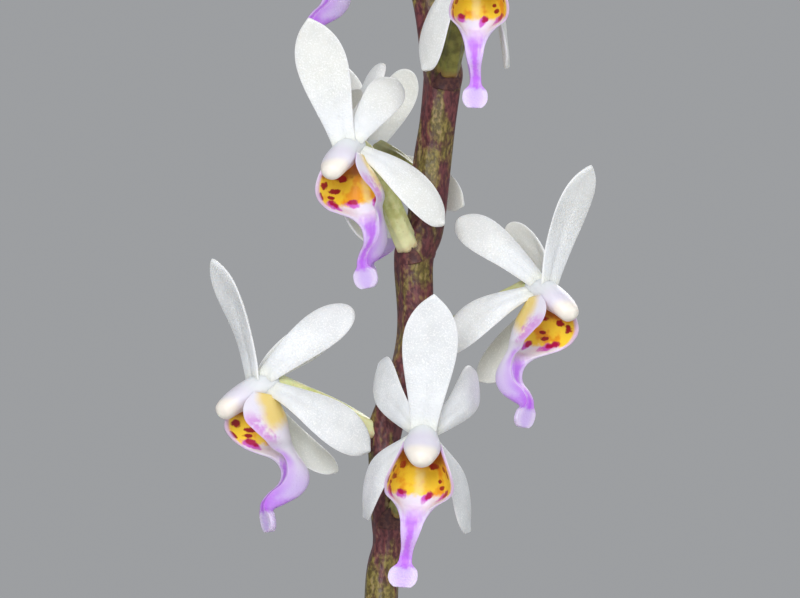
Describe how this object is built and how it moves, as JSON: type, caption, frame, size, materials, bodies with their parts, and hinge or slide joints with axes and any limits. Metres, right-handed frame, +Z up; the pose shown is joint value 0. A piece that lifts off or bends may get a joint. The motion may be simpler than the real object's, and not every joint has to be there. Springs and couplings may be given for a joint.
{
  "type": "potted orchid in flower",
  "caption": "Small potted orchid with sickle-shaped leaves and an upright zigzag spike of white, reflexed flowers with boat-shaped yellow and violet lips.",
  "frame": {"origin": "centre of the pot's flat underside", "axes": "+Z up along the pot's axis, -Y towards the spike's best side"},
  "size_m": [0.1656, 0.0842, 0.232],
  "materials": {
    "tepal": "crystalline white petal, satin",
    "lip": "lilac to violet with a golden mouth and crimson spots",
    "pedicel": "yellow-green to olive, waxy",
    "rachis": "mottled maroon and olive, satin",
    "bud": "pale green-white, waxy",
    "stem": "green stem in dry fibrous sheaths",
    "leaf": "leathery green, semi-gloss",
    "root": "silvery grey-green aerial root with green tips",
    "bark": "rough chipped bark",
    "pot": "unglazed terracotta, matt"
  },
  "bodies": {
    "root": {"bark_medium": "bark", "bud_1": "bud", "bud_2": "bud", "bud_3": "bud", "bud_4": "bud", "bud_5": "bud", "leaf_1": "leaf", "leaf_2": "leaf", "leaf_3": "leaf", "leaf_4": "leaf", "leaf_5": "leaf", "leaf_6": "leaf", "leaf_7": "leaf", "lip_a": "lip", "lip_b": "lip", "lip_c": "lip", "lip_d": "lip", "lip_e": "lip", "lip_f": "lip", "lip_g": "lip", "lip_h": "lip", "lip_i": "lip", "lip_j": "lip", "pedicel_a": "pedicel", "pedicel_b": "pedicel", "pedicel_c": "pedicel", "pedicel_d": "pedicel", "pedicel_e": "pedicel", "pedicel_f": "pedicel", "pedicel_g": "pedicel", "pedicel_h": "pedicel", "pedicel_i": "pedicel", "pedicel_j": "pedicel", "perianth_a": "tepal", "perianth_b": "tepal", "perianth_c": "tepal", "perianth_d": "tepal", "perianth_e": "tepal", "perianth_f": "tepal", "perianth_g": "tepal", "perianth_h": "tepal", "perianth_i": "tepal", "perianth_j": "tepal", "pot": "pot", "rachis": "rachis", "roots": "root", "stem": "stem"}
  },
  "joints": []
}
